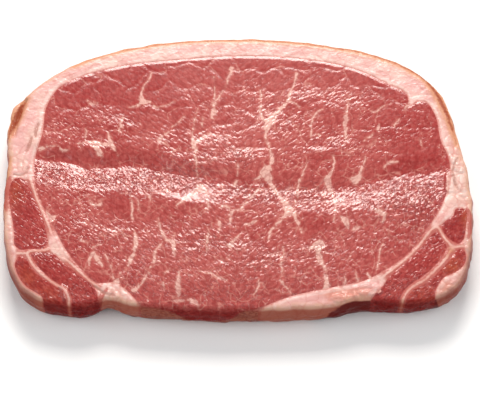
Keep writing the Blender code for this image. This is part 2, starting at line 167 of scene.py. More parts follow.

# Veins of fat in the eye, with a few glint lines and highlit lumps painted in as pale highlights: places
# along each, with the width there
VEINS_AND_GLINTS = (
    ((-40, 49, 0.6), (-41, 46, 0.7), (-43, 42, 0.8), (-44.3, 38, 1.2), (-43.8, 34.5, 3.2),
     (-40, 33.6, 1.2), (-37.5, 31.2, 0.9), (-35, 31.4, 0.6), (-29, 34, 0.4)),
    ((-44, 34, 2.6), (-46.8, 32, 1.1), (-49.8, 31, 0.5)),
    ((-68.8, 34.5, 0.7), (-67, 33.2, 1.9), (-64.5, 33.2, 0.6)),
    ((-52.6, 26, 0.8), (-53.2, 22, 1.1), (-53.6, 19.3, 1.6)),
    ((-58.8, 18.5, 0.8), (-58, 14.5, 1.5), (-57.3, 12.2, 2.2), (-55.5, 9.5, 0.8), (-53.5, 6.5, 0.4)),
    ((-69.2, 20.5, 0.5), (-69, 14, 0.9)),
    # Partly a painted highlight: a lump of fat with its glint painted in as a broad pale band
    ((-72.5, 12.8, 0.7), (-68, 13.8, 1.3), (-62.5, 12.5, 2), (-58, 12.2, 1.8)),
    ((-65.5, 11.5, 1.6), (-62.8, 8.8, 3), (-62.2, 6.8, 1.6)),
    ((-91.6, 10.4, 2.2), (-87, 11.2, 1.6), (-82.5, 11.6, 1), (-79, 9.6, 0.9), (-75, 10.6, 0.5)),
    ((-11, 47, 0.5), (-10.8, 38, 1), (-10.8, 32, 1.4), (-11.2, 27.5, 2.6), (-11.8, 25.6, 1.2)),
    ((-10.6, 34, 0.5), (-7.5, 38, 0.7), (-5.5, 41.5, 0.4)),
    ((-3, 51, 2.4), (-4, 47.5, 1.4), (-5, 43, 0.5)),
    ((-18, 31, 0.4), (-19.6, 25.5, 0.8), (-20.5, 20, 0.9), (-20.4, 15, 1.3), (-19.8, 12, 2.4),
     (-19.4, 8, 1.2), (-18.6, 2, 0.8), (-18.2, -3, 0.5)),
    ((-19.5, 12.8, 1.6), (-17.2, 15, 1.1), (-15, 17, 0.8), (-12, 18, 0.6)),
    ((-16, 25.5, 0.9), (-16.2, 21.5, 0.5)),
    ((-30, 19.5, 0.6), (-33, 17.6, 0.9), (-35.3, 14.8, 2), (-33.5, 13, 0.8), (-31.5, 11.5, 0.5)),
    ((-24.5, 26.5, 0.4), (-27.5, 23, 0.6), (-30, 21, 0.4)),
    ((27.2, 48.5, 1.3), (26, 43.5, 1), (24.2, 38.5, 1.2), (22.8, 34.4, 1.5), (20, 30.8, 2.2),
     (17, 27.4, 2.2), (13.8, 22.6, 4.2), (13.1, 19, 1.9), (13, 15, 1.1), (14.2, 11, 0.8),
     (15.4, 6.5, 1.6), (14.8, 2, 2.2), (12.8, -1.8, 5.2), (14.4, -5.5, 2.2), (16.3, -9.8, 1.9),
     (18.2, -12, 1.6), (20.4, -15.5, 2.2), (23, -19.8, 4.6), (20, -24, 1.7), (17, -27.4, 1.2),
     (14.4, -31, 1), (13.6, -35, 0.5)),
    ((10.4, 40, 0.6), (10.6, 33, 0.9), (10.4, 27.5, 1.1), (12.4, 23.6, 1.8)),
    ((22.8, 34.2, 0.9), (26, 33.2, 0.7), (28.4, 30.8, 0.4)),
    ((11.8, -2.4, 2), (9.2, -4.4, 1.1), (7, -4.6, 0.4)),
    ((25, -21, 2.4), (26, -24.5, 1.4), (27.4, -28, 1.4), (28.6, -31, 0.7)),
    ((38.4, 30, 0.5), (35.6, 28, 0.8), (34, 25, 0.9), (33.6, 20.5, 0.7), (33.4, 16, 0.4)),
    ((51.2, 36, 0.4), (50.3, 31, 0.7), (49.4, 26.5, 1.9), (49.1, 23, 2.6), (49, 18, 1.5),
     (49, 15, 0.8)),
    ((35, 17.6, 0.6), (36.5, 16.9, 1.4)),
    ((79.4, 35.6, 1.8), (78.2, 32.6, 1.5), (76.4, 30.2, 0.7)),
    # A painted highlight: a glint line painted as a thin pale vein
    ((60, 30, 0.4), (62, 28.7, 0.7), (64.2, 29.6, 0.6), (66.6, 32, 0.5), (70, 33.2, 0.4)),
    ((71.2, 21.6, 1), (73.6, 25, 0.4)),
    ((57, 14.4, 0.6), (59, 15.4, 0.9), (61.4, 17.6, 0.7)),
    ((64.6, 22.6, 0.5), (63.8, 20.2, 1.3)),
    ((82.8, 15.6, 0.4), (83.4, 11, 0.8)),
    ((66, 1.2, 0.5), (69, 3.2, 1), (72.6, 3.6, 0.5)),
    ((58.2, 6.5, 0.5), (56.8, 2.5, 0.9), (55.2, -1.6, 1.7), (52.8, -5, 3.8), (51, -4, 0.8)),
    ((43.2, 7, 0.7), (43.4, 3, 0.9), (42.2, -1.4, 1.1), (40.4, -5, 3.2), (41, -8.4, 2.4),
     (43, -12.4, 1.4), (43.8, -17, 1.4), (43.4, -21.5, 0.8), (43, -26, 0.5)),
    ((31, 2.4, 0.4), (29.4, -2, 0.7), (27.6, -6.4, 0.9), (26.8, -12, 0.6), (25.6, -17, 0.4)),
    # Partly a painted highlight: a node of fat with the sheen on it painted in
    ((-17, -8.6, 4.4), (-14.4, -11, 1.6), (-13.6, -15, 1.1), (-13.2, -20, 0.5)),
    ((-18.5, -10.4, 2.6), (-22, -13, 1.7), (-24.6, -15.4, 1.2), (-27.2, -18, 0.5)),
    ((9.4, -9.6, 1.2), (6.8, -12.8, 1.2), (3.8, -16.6, 1), (0.4, -19.8, 1.1), (-2.8, -21.4, 1.8),
     (-3.2, -24.6, 1.3), (-3.4, -27.6, 0.6)),
    # Mostly a painted highlight: a short glint line running into a vein
    ((-7.6, -18.4, 0.6), (-5, -18.2, 0.9), (-3, -21, 1)),
    ((0, 2.4, 0.5), (-0.4, -3.4, 0.8), (-1.4, -8, 1.6)),
    ((-9.4, -23.6, 0.7), (-8.2, -26, 1.6), (-8.2, -29.4, 0.7)),
    ((-47.6, -13, 0.7), (-47.4, -19, 1), (-47, -25, 0.6)),
    ((-44.8, -14.4, 0.9), (-44.4, -20.4, 0.4)),
    ((-39.4, -13, 1.2), (-39.8, -18.4, 0.5)),
    ((-66.6, -14.6, 0.7), (-65, -17, 1.6), (-62.4, -17.4, 1.7), (-60.8, -15, 0.6)),
    ((-85.4, -21.4, 1.6), (-83.6, -24.4, 3.4), (-81.4, -23, 0.8)),
    ((45.6, -23.4, 1), (47.6, -24.8, 2.8), (49.2, -28.6, 1.2)),
    ((50.4, -29.4, 0.6), (52.6, -29, 1.2), (55, -28, 0.6)),
    ((61.4, -20, 0.9), (63.8, -21.4, 2.6), (65.4, -23.4, 2.2), (64.4, -26, 0.6)),
    ((3, -27, 0.5), (5.4, -26.6, 1.6), (8.4, -25, 0.6)),
    ((-35.4, -24.4, 0.6), (-35, -27.6, 1.1), (-33.4, -31.4, 1.1), (-31.4, -34.6, 1), (-29.2, -35, 2.2),
     (-28.6, -38.6, 1.7), (-28, -42, 0.7)),
    ((-31.4, -34.4, 0.8), (-34.6, -37, 0.9), (-36.6, -40.4, 0.8), (-36.6, -43.4, 1.8), (-38.4, -47, 1),
     (-39.8, -51, 1), (-42.4, -55, 1.4), (-45.4, -58, 2.4)),
    ((-46, -30, 0.7), (-45.4, -34, 1.9), (-45.6, -39, 1.9), (-47.4, -44, 1.4), (-49.4, -48.6, 0.6)),
    ((-51.8, -50, 0.8), (-52.6, -53, 1.8), (-53.6, -56, 3.4)),
    ((-58.6, -41, 0.7), (-56.8, -45.6, 0.9), (-55, -50.6, 0.6), (-54.4, -54, 0.6)),
    ((-66, -48, 0.5), (-65.6, -43.4, 1.3), (-63.6, -40.6, 1.8), (-61.8, -44.4, 1.9), (-59.6, -47, 0.5)),
    ((-70.2, -34.4, 0.5), (-67, -36, 0.8), (-65.2, -37.6, 0.7), (-61, -36.4, 0.4)),
    ((-30, -48, 0.5), (-32.6, -51.4, 0.8), (-33, -54.4, 0.6), (-32.4, -58, 0.4)),
    ((-26, -48.6, 0.4), (-26, -52, 1.4), (-26.4, -56, 2.3), (-25.8, -59.6, 1.9), (-26, -61.8, 0.8)),
    ((-27.8, -63, 0.8), (-25, -62.8, 1.4), (-23, -62.8, 0.8)),
    ((-21.6, -62.6, 1.4), (-19.6, -63.2, 2.4), (-17.2, -64.8, 0.8)),
    # A painted highlight: a glint line painted as a thin pale vein
    ((-17, -49.4, 0.5), (-12, -50.6, 0.8), (-8, -52.4, 0.8), (-4.8, -53.6, 0.5)),
    ((-13, -31, 0.9), (-13.8, -35.4, 1.2), (-13.4, -40, 0.6)),
    ((1.2, -31.4, 0.6), (-1, -34, 1), (-3.6, -37, 2.8)),
    ((36, -36.8, 5), (32.4, -38.2, 1.6)),
    ((36.6, -36.6, 3.4), (35.6, -40, 2.8), (36.4, -43.6, 2.4), (38, -47, 1.4), (38.8, -51, 1.7),
     (39.2, -55, 2.6), (39, -58.6, 4.4)),
    ((19.9, -37.6, 0.5), (20.4, -41, 0.7), (19.4, -46, 0.8), (19.6, -50.6, 0.4)),
    ((19.4, -53.8, 1.5), (21.4, -57, 0.7), (24, -59.8, 0.7)),
    ((9.2, -53, 0.4), (9, -57, 0.8), (7, -60, 0.5)),
    ((47.2, -51.6, 0.4), (47.2, -56, 1.1)),
    ((52, -49.6, 0.4), (53, -54.6, 1.2)),
    ((57.4, -50.4, 0.6), (58.6, -53.4, 2.2)),
    ((60.8, -49.6, 0.5), (62.4, -44.4, 0.6), (63.4, -38.4, 0.8), (65.4, -35, 0.6)),
)

# Swellings of the cut face, with their heights
SWELLINGS = (
    (-66, 10.2, 7, 3, 0.2), (-49, 21, 2.2, 1.6, 0.2), (-55, 22, 5, 2.8, 0.14), (-68, 24, 10, 4, 0.12),
    (47, 11, 6, 3.4, 0.2), (37.5, 8.8, 6, 3, 0.16), (44, 7.6, 11, 2.4, 0.1), (2, 4.2, 10, 3.6, 0.24),
    (-13, 12.6, 9, 4, 0.26), (14, 18, 14, 10, 0.44), (30, 34, 8, 5, 0.24), (48, 30, 9, 6, 0.2),
    (-30, 5.4, 7, 2.6, 0.1), (-34, 12.6, 6, 2.6, 0.12), (40, -15, 9, 3.6, 0.2), (14, -14, 9, 4, 0.22),
    (-4, -13, 9, 3.6, 0.16), (65, -22, 4.4, 3, 0.2), (80, -18.5, 9, 4.4, 0.2), (-57, -31.5, 7, 3, 0.18),
    (-20, -40, 16, 5, 0.2), (2, -39, 6, 3, 0.18), (34, -40, 5, 2.6, 0.2), (44, -42.6, 5, 2.4, 0.12),
    (14, -46.5, 7, 4, 0.14), (-39, -45.5, 4, 2.6, 0.14), (48, -25.5, 3.6, 2.4, 0.12),
    (-6, -21, 5, 2.6, 0.12), (48, -62.4, 4.2, 1.9, 0.36), (59.5, -57.8, 4.6, 3, 0.28),
    (-55, -58.4, 5, 2.8, 0.24), (30, -62, 9, 2, 0.16), (44, -60.8, 1.3, 1.1, 0.48),
    (47.6, -60, 1.3, 1.1, 0.64), (51.2, -60.8, 1.4, 1.1, 0.72), (54.8, -60.2, 1.3, 1.1, 0.64),
    (58, -61, 1.3, 1.2, 0.52), (-57, -59.4, 1.6, 1.4, 0.56), (-54, -60.6, 1.5, 1.3, 0.48),
    (-75.5, -59.5, 1.6, 2.2, 0.56), (-28, 34, 8, 5, 0.14), (62, 34, 7, 4, 0.1), (-84, -25.8, 4, 2, 0.2),
    (54, -6.5, 4, 2.4, 0.12), (-32, -15, 18, 7, 0.6), (44, -22, 20, 8, 0.52), (82, -22, 15, 11, 0.68),
    (-40, -36, 12, 7, 0.36), (-70, -30, 9, 8, 0.32), (4, 5, 26, 8, 0.44), (2, -50, 40, 9, 0.36),
)

# Rind along the far edge and both sides: places along each stretch, with its width there
RIND = (
    ((-104.6, 15.6, 0.6), (-103.4, 20, 2.4), (-101.8, 24.6, 3.8), (-100, 29.2, 3.8), (-98.4, 33, 2.4),
     (-96.4, 35.8, 0.4)),
    ((-76, 52, 0.3), (-67.8, 56, 0.7), (-41, 63, 1), (2, 66, 1.2), (43, 62.4, 1.4), (65.6, 57, 1.6),
     (79.6, 50.4, 1.8), (86.3, 45.6, 2), (89.8, 40.6, 2.4), (92.6, 35.4, 2.6), (95, 29.6, 2.6),
     (96.7, 24.4, 2.4), (98.1, 19.2, 1.6), (99.6, 12.4, 0.5)),
    ((-103.6, 5.6, 0.6), (-104.2, 2.4, 1.2), (-104.6, -8, 1.4), (-104.2, -18.4, 0.4)),
    ((94.4, -39.6, 1), (96.4, -43.4, 4.2), (95, -47.4, 1)),
)

# Where the edge bulges out, and how far
BULGES = (
    (-101, 30, 4, 4.6, 1.8), (-103, 22, 4, 5, 0.5), (103, 1, 4, 5, 0.7), (104, -15, 4, 4, 0.6),
)

# Lean that lies over the fat beside a muscle
STRAY_LEAN = (
    ((-102.8, -3.6, 0.6), (-103.8, -8, 3.4), (-104.4, -14, 3.6), (-103.6, -19.4, 1)),
    ((102.6, -19, 0.6), (103.8, -23, 2.2), (103.6, -29, 1.6), (102.6, -33, 0.6)),
    ((-57.5, -57.8, 0.6), (-60.4, -62, 1.6), (-60.2, -66, 2)),
)

# Pale lumps of fat that stand a little higher
LUMPS = (
    ((-77.5, -56.5, 0.6), (-75.6, -58.5, 2), (-75.2, -61.5, 1.6)),
    ((52, -58.4, 2.6), (56, -57.6, 4.2), (61.2, -58, 3.6)),
    ((42.6, -61.8, 1.6), (47, -62.6, 2.6), (52, -61.4, 1.6)),
    ((98.3, 4.7, 2.6), (100.4, 0.6, 3.6)),
    ((101.6, -4, 2.6), (101.2, -9, 2.6)),
    ((95.8, -2.8, 3), (95, -9.6, 2.8)),
)

# Where the fat is knobbly
KNOBS = (
    (98, 4, 6, 14, 1), (101, -16, 4, 9, 0.8), (103, -38, 3, 10, 0.8), (-98, 3, 5, 8, 0.6),
    (55, -60, 13, 4, 1), (-54, -60, 9, 5, 0.9), (-101, -30, 2.5, 9, 0.8), (92, -55, 6, 5, 0.7),
    (-78, -42, 7, 4, 0.6), (88, 40, 6, 5, 0.4),
)

# Thin creases in the fat, sunk a little and darkened with painted shade
CREASES = (
    ((-90.9, 23, 0.3), (-91.9, 19.7, 0.8), (-92.3, 16.4, 0.4)),
    ((-93.9, 16, 0.3), (-94.5, 12.7, 0.8), (-95.8, 9.2, 0.4)),
    ((-94.8, 1, 0.1), (-95.6, -1.6, 0.2), (-98.4, -2.8, 0.2), (-101, -2.4, 0.1)),
    ((99.6, 6, 0.3), (97.2, 0.4, 0.4), (97.6, -5.6, 0.6), (99, -9.6, 0.3)),
    ((-63, -56.4, 0.3), (-58.4, -59.6, 0.5), (-54, -60.4, 0.3)),
)

# Shares of the front wall's height, at places along X: a brown film, and lean under a thin layer of fat,
# whose very dark colour is partly painted shade
FILM_ALONG = (
    (-106, 0), (-60, 0), (-59, 1.2), (-42, 1.1), (-28, 0.7), (-16, 0.25), (-8, 0.35), (8, 1.1),
    (12, 1.1), (14, 0), (106, 0),
)
LEAN_BELOW_FAT = (
    (-106, 0), (6, 0.5), (12, 0), (31, 0), (46, 1), (64, 1), (67, 0), (84, 0), (87, 1), (90, 0),
)

# Where the cut face is rougher, and where it is smoother
ROUGHNESS_PATCHES = (
    (-60, -4, 22, 5, 0.45), (-30, -6, 20, 6, 0.6), (5, -11, 18, 5, 0.42), (35, -13, 14, 6, 0.42),
    (80, -9, 17, 6, 0.4), (18, 30, 18, 12, 0.16), (46, 36, 10, 7, 0.2), (-13, 14, 9, 4.5, 0.25),
    (5, 6.5, 7, 3, 0.25), (-62, 12, 6, 2.2, 0.3), (-55, 25, 9, 4, 0.25), (-70, 22, 12, 5, 0.15),
    (48, 13, 9, 4, 0.22), (-57, -29, 9, 4, 0.22), (-20, -35, 14, 6, 0.2), (-3, -37, 6, 3, 0.2),
    (35, -39, 6, 3, 0.25), (44, -41, 6, 3, 0.2), (15, -44, 8, 4, 0.2), (65, -18, 5, 3, 0.2),
    (76, -19, 19, 9, 0.36), (98, -27, 5, 8, -0.3), (-93, -51, 6, 8, -0.32), (-86, 0, 9, 7, 0.55),
    (-94, -22, 7, 16, -0.16), (-14, 5, 27, 6, 0.34), (-74, 6, 13, 2.2, -0.42), (-86, 7, 8, 2.6, -0.3),
    (80, 9, 9, 3.4, -0.4), (-60, 38, 24, 9, -0.22), (-53, -19, 10, 5, -0.25), (60, 46, 14, 5, -0.2),
    (30, -28, 7, 4, -0.2), (78, 24, 12, 12, -0.03), (-66, -47, 14, 8, -0.18), (62, -45, 15, 8, -0.18),
    (-82, -54, 12, 8, -0.2), (88, -46, 10, 9, -0.18),
)

# Where the fat is pinker, and where it is paler
BLUSH_PATCHES = (
    (56, -60, 14, 5, 1.1), (90, -55, 6, 5, 0.8), (-101, -44, 4, 10, 0.5), (-93, 14, 3, 5, -0.5),
    (-98, 20, 6, 20, 0.35), (42, -60, 12, 4, 1.5), (92, -57, 6, 4, 1.4), (90, 42, 14, 8, 0.4),
    (-80, 46, 9, 5, 1.1), (10, -62, 14, 4, 0.3), (-86, -32, 5, 6, 0.3), (99, -4, 6, 10, -0.8),
    (0, 62, 70, 8, 0.2),
)

# Where the lean is paler, and where it is deeper
TONE_PATCHES = (
    (-60, 40, 30, 12, -0.5), (-66, 7, 26, 6, -0.1), (80, 22, 16, 16, -0.45), (84, 4, 10, 4, -0.65),
    (-53, -20, 9, 6, -0.3), (3, 11, 26, 11, 0.75), (0, 36, 26, 12, 0.2), (-6, -46, 36, 12, 0.75),
    (44, -30, 16, 10, 0.25), (-60, -24, 22, 10, 0.2), (34, -28, 7, 5, -0.3), (20, -18, 50, 6, 0.25),
    (48, 28, 14, 12, 0.15), (90, -44, 8, 10, 0.15), (66, -48, 8, 8, 0.2), (-90, -53, 8, 8, -0.6),
    (98, -27, 6, 8, -0.95), (-93, -51, 6, 8, -0.9),
)

# Where the lean has dried to amber
AMBER_PATCHES = (
    (-93, -52, 5, 6, 0.4), (-82, -60, 8, 4, 0.3), (-100, -12, 3, 7, 0.5), (95, -47, 5, 5, 0.6),
    (102, -24, 2.6, 5, 0.6), (82, -60, 8, 4, 0.25),
)


def closed_curve(knots, spacing):
    """A smooth closed curve through the knots, as evenly spaced corners in anticlockwise order."""
    knots = anticlockwise(np.array(knots, float))
    path = curve_through(np.vstack([knots[-1:], knots, knots[:2]]))
    return evenly(path, spacing)[:-1]


def anticlockwise(loop):
    beyond = np.roll(loop, -1, axis=0)
    twice_area = (loop[:, 0] * beyond[:, 1] - loop[:, 1] * beyond[:, 0]).sum()
    return loop if twice_area > 0 else loop[::-1]


def curve_through(knots, steps=16):
    """A dense smooth path from the second knot to the last but one; any columns ride along."""
    chord = np.linalg.norm(np.diff(knots[:, :2], axis=0), axis=1)[:, None]
    slope = np.diff(knots, axis=0) / chord
    tangent = (slope[1:] * chord[:-1] + slope[:-1] * chord[1:]) / (chord[1:] + chord[:-1])
    start, end, span = knots[1:-2], knots[2:-1], chord[1:-1]
    dense = []
    for t in np.linspace(0, 1, steps, endpoint=False):
        place = (1 + 2 * t) * (1 - t) ** 2 * start + t * t * (3 - 2 * t) * end
        dense.append(place + span * (t * (1 - t) ** 2 * tangent[:-1] + t * t * (t - 1) * tangent[1:]))
    path = np.stack(dense, axis=1).reshape(-1, knots.shape[1])
    return np.vstack([path, knots[-2]])


def evenly(path, spacing):
    """The same path with its corners moved to equal steps."""
    run = np.concatenate([[0], np.cumsum(np.linalg.norm(np.diff(path, axis=0), axis=1))])
    count = max(3, round(run[-1] / spacing))
    stops = np.linspace(0, run[-1], count + 1)
    return np.column_stack([np.interp(stops, run, path[:, axis]) for axis in (0, 1)])


def grown(loop, distance):
    """An anticlockwise loop moved outwards; a negative distance moves it inwards."""
    along = np.roll(loop, -1, axis=0) - np.roll(loop, 1, axis=0)
    outward = np.column_stack([along[:, 1], -along[:, 0]])
    return loop + distance * outward / np.linalg.norm(outward, axis=1)[:, None]


def line_distance(points, path):
    """Each point's distance to a path, which side it is on (+1 left), and its nearest place."""
    far = np.full(len(points), np.inf)
    side = np.zeros(len(points))
    nearest = np.zeros((len(points), 2))
    for start, end in zip(path[:-1], path[1:]):
        along = end - start
        offset = points - start
        share = np.clip(offset @ along / (along @ along), 0, 1)
        away = offset - share[:, None] * along
        length = np.hypot(away[:, 0], away[:, 1])
        closer = length < far
        far[closer] = length[closer]
        side[closer] = np.sign(along[0] * away[closer, 1] - along[1] * away[closer, 0])
        nearest[closer] = points[closer] - away[closer]
    return far, side, nearest


def nearest_on_loops(points, loops):
    """Each point's distance to the nearest of the closed loops, and its nearest place there."""
    corners = np.vstack(loops)
    before = np.vstack([np.roll(loop, 1, axis=0) for loop in loops])
    beyond = np.vstack([np.roll(loop, -1, axis=0) for loop in loops])
    tree = KDTree(len(corners))
    for k, (x, y) in enumerate(corners):
        tree.insert((x, y, 0), k)
    tree.balance()
    pick = np.array([tree.find((x, y, 0))[1] for x, y in points.tolist()])
    far = np.full(len(points), np.inf)
    nearest = np.zeros((len(points), 2))
    for other in (before, beyond):
        along = other[pick] - corners[pick]
        offset = points - corners[pick]
        share = np.clip((offset * along).sum(axis=1) / (along * along).sum(axis=1), 0, 1)
        away = offset - share[:, None] * along
        length = np.hypot(away[:, 0], away[:, 1])
        closer = length < far
        far[closer] = length[closer]
        nearest[closer] = points[closer] - away[closer]
    return far, nearest, pick


def inside(points, loop):
    """Which points a loop goes round, by counting the edges that a ray crosses."""
    crossings = np.zeros(len(points), int)
    order = np.argsort(points[:, 1])
    x, y = points[order].T
    for (ax, ay), (bx, by) in zip(loop, np.roll(loop, -1, axis=0)):
        first, last = np.searchsorted(y, sorted((ay, by)))
        if first < last:
            rows = slice(first, last)
            crossings[order[rows]] += x[rows] < ax + (y[rows] - ay) * (bx - ax) / (by - ay)
    return crossings % 2 == 1


def smooth(share):
    share = np.clip(share, 0, 1)
    return share * share * (3 - 2 * share)


def ripples(points, length, seed):
    """Smooth noise from about -1 to 1, with rises of the given length."""
    angles = np.random.default_rng(seed).uniform(0, 2 * math.pi, (64, 64))
    cell = points / length
    base = np.floor(cell).astype(int)
    part = cell - base
    fade = part ** 3 * (part * (part * 6 - 15) + 10)
    total = np.zeros(len(points))
    for i in (0, 1):
        for j in (0, 1):
            angle = angles[(base[:, 0] + i) % 64, (base[:, 1] + j) % 64]
            dot = np.cos(angle) * (part[:, 0] - i) + np.sin(angle) * (part[:, 1] - j)
            weight_x = fade[:, 0] if i else 1 - fade[:, 0]
            weight_y = fade[:, 1] if j else 1 - fade[:, 1]
            total += weight_x * weight_y * dot
    return 1.6 * total


def cobbles(points, step, seed):
    """Distances to the nearest and next nearest of scattered centres, in steps."""
    jitter = np.random.default_rng(seed).uniform(0.08, 0.92, (64, 64, 2))
    cell = points / step
    base = np.floor(cell).astype(int)
    first = np.full(len(points), np.inf)
    second = np.full(len(points), np.inf)
    for i in (-1, 0, 1):
        for j in (-1, 0, 1):
            spot = base + (i, j)
            far = np.linalg.norm(cell - spot - jitter[spot[:, 0] % 64, spot[:, 1] % 64], axis=1)
            second = np.minimum(second, np.maximum(first, far))
            first = np.minimum(first, far)
    return first, second


def patches(points, spots):
    """The sum of soft round spots at the points."""
    total = np.zeros(len(points))
    for x, y, across, away, height in spots:
        spread = ((points[:, 0] - x) / across) ** 2 + ((points[:, 1] - y) / away) ** 2
        total += height * np.exp(-spread)
    return total


def fold_drop(points):
    """How far the fold sinks the top face: deep at the left end, and shallow from the middle on."""
    loose = points + 1.3 * np.column_stack([ripples(points, 5.0, 21), ripples(points, 8.0, 22)])
    far, side, _ = line_distance(loose, np.array(FOLD_LINE, float))
    reach = np.where(side > 0, FOLD_FAR_REACH, FOLD_NEAR_REACH)
    deepening = smooth(np.abs(points[:, 0] - SHALLOW_AT) / SHALLOW_REACH)
    deepest = np.where(points[:, 0] > SHALLOW_AT, RIGHT_FOLD_DEPTH, FOLD_DEPTH)
    depth = SHALLOW_DEPTH + (deepest - SHALLOW_DEPTH) * deepening
    depth = depth * smooth((FOLD_END - np.abs(points[:, 0])) / FOLD_END_FADE)
    share = np.clip(far / reach, 0, 1)
    return depth * (1 - np.where(side > 0, smooth(share), 0.35 * smooth(share) + 0.65 * share))


def slab_height(points, in_from_edge):
    """Height of the cut face above the table, before its fine relief."""
    height = THICKNESS - fold_drop(points)
    far, _, _ = line_distance(points, np.array(CLEFT_LINE, float))
    height -= CLEFT_DEPTH * (1 - smooth(far / CLEFT_REACH))
    droop = (1 - smooth(in_from_edge / DROOP_REACH)) * smooth((DROOP_END - points[:, 1]) / DROOP_FADE)
    return height - RIM_DROOP * droop - edge_turn(in_from_edge)


def edge_turn(in_from_edge):
    """How far the rounded edge has dropped at each distance inside the outline."""
    turn = np.clip(1 - in_from_edge / EDGE_ROUND, 0, 1)
    return EDGE_ROUND * (1 - np.sqrt(1 - turn ** 2))


def line_gap(points, lines):
    """Distance outside the nearest line, negative within its width, and no more than a few millimetres."""
    reach = 4.0
    found = np.full(len(points), reach)
    for line in lines:
        knots = np.array(line, float)
        ends = [2 * knots[0] - knots[1], 2 * knots[-1] - knots[-2]]
        path = curve_through(np.vstack([ends[0], knots, ends[1]]), steps=4)
        low, high = path[:, :2].min(axis=0) - reach, path[:, :2].max(axis=0) + reach
        near = np.flatnonzero(((points > low) & (points < high)).all(axis=1))
        for (ax, ay, start), (bx, by, end) in zip(path[:-1], path[1:]):
            along = np.array((bx - ax, by - ay))
            offset = points[near] - (ax, ay)
            share = np.clip(offset @ along / (along @ along), 0, 1)
            gap = np.linalg.norm(offset - share[:, None] * along, axis=1)
            found[near] = np.minimum(found[near], gap - (start + share * (end - start)) / 2)
    return found


def wander_of(points, length, seeds):
    """Soft noise in both directions, to move points about with."""
    return np.column_stack([ripples(points, length, seed) for seed in seeds])


def surface(points, outline, loops):
    """Everything that the shapes and the colours need to know at each plan point."""
    rim = nearest_on_loops(points, loops)[0]
    edge = nearest_on_loops(points, [outline])[0]
    wander = wander_of(points, 7.0, (1, 2))
    bundle_first, bundle_second = cobbles(points + 2.0 * wander, BUNDLE_SIZE, 3)
    fields = {"rim": rim, "outer": edge, "turned": edge_turn(edge)}
    fields["bundle"] = BUNDLE_SIZE * (bundle_second - bundle_first)
    fields["vein_and_glint"] = line_gap(points + 0.45 * wander_of(points, 2.6, (14, 15)), VEINS_AND_GLINTS)
    for name, lines in (("rind", RIND), ("shaded_crease", CREASES), ("stray", STRAY_LEAN), ("lump", LUMPS)):
        fields[name] = line_gap(points, lines)
    evenness = 0.33 - 0.0047 * points[:, 1] + 0.12 * ripples(points, 13.0, 11)
    fields["rough"] = np.clip(evenness + patches(points, ROUGHNESS_PATCHES), 0.06, 1.1)
    fields["blush"] = 0.4 + 0.35 * ripples(points, 9.0, 13) + patches(points, BLUSH_PATCHES)
    corner = smooth((np.abs(points[:, 0]) - 84) / 8) * smooth((-28 - points[:, 1]) / 14)
    fields["skin"] = corner * (1 - smooth(edge / 4.5))
    front = smooth((-45 - points[:, 1]) / 6)
    along = points[:, 0] + 1.5 * wander[:, 0]
    fields["film"] = front * np.interp(along, *zip(*FILM_ALONG))
    fields["below"] = front * np.interp(along, *zip(*LEAN_BELOW_FAT))
    fields["middle"], fields["narrow"] = seams(points, loops, rim)
    fields["amber"] = patches(points, AMBER_PATCHES)
    fields["tone"] = 0.5 + 0.3 * ripples(points, 16.0, 12) + patches(points, TONE_PATCHES)
    lean = np.any([inside(points, loop) for loop in loops], axis=0)
    muscle = lean_relief(points, wander, fields)
    knob_first, knob_second = cobbles(points + 1.8 * wander, KNOB_SIZE, 17)
    knobs = np.clip(patches(points, KNOBS), 0, 1)
    # The creases between the knobs, where the fat gets a painted shade
    fields["knob"] = knobs * (1 - smooth((knob_second - knob_first) / 0.22))
    fatty = 0.18 * ripples(points, 6.0, 6) + 0.07 * ripples(points, 1.9, 7)
    fatty += 0.42 * knobs * (smooth((knob_second - knob_first) / 0.5) - 0.5)
    height = slab_height(points, edge) + patches(points, SWELLINGS) - 0.16 * (1 - smooth(rim / 1.3))
    height += np.where(lean, muscle, fatty) * smooth(edge / 1.2) * smooth(0.15 + rim / 1.6)
    height += 0.6 * (1 - smooth(fields["lump"] / 1.2))
    height -= 0.4 * (1 - smooth(fields["shaded_crease"] / 0.9))
    height -= 0.25 * smooth(1 - fields["rind"] / 0.6) * ~lean
    fields["height"] = height
    return fields


def lean_relief(points, wander, fields):
    """Fibres, rumples and bundles of the lean, flatter along the veins and the painted glint lines."""
    rough = fields["rough"]
    fibre_first, fibre_second = cobbles((points + 0.5 * wander) * (0.85, 1.0), FIBRE_SIZE, 4)
    fibre = smooth(1.25 * (fibre_second - fibre_first)) - 0.6 * fibre_first
    height = (0.015 + 0.05 * rough) * ripples((points + wander) * (0.9, 1.0), 4.2, 10)
    height += 0.19 * smooth((rough - 0.45) / 0.4) * ripples((points + wander) * (0.6, 1.0), 2.3, 16)
    height += rough * (0.07 * fibre + 0.03 * ripples(points, 1.8, 5))
    height += 0.07 * smooth(fields["bundle"] / 3.0)
    return height * (0.35 + 0.65 * smooth(fields["vein_and_glint"])) - LEAN_SINK


def seams(points, loops, rim):
    """Distance from the middle of the nearest seam between muscles, and how narrow that seam is."""
    middle = np.full(len(points), 9.0)
    narrow = np.zeros(len(points))
    near = np.flatnonzero(rim < SEAM_REACH)
    away = np.sort([nearest_on_loops(points[near], [loop])[0] for loop in loops], axis=0)
    middle[near] = (away[1] - away[0]) / 2
    narrow[near] = 1 - smooth((away[0] + away[1] - NARROW_SEAM) / 1.5)
    return middle, narrow


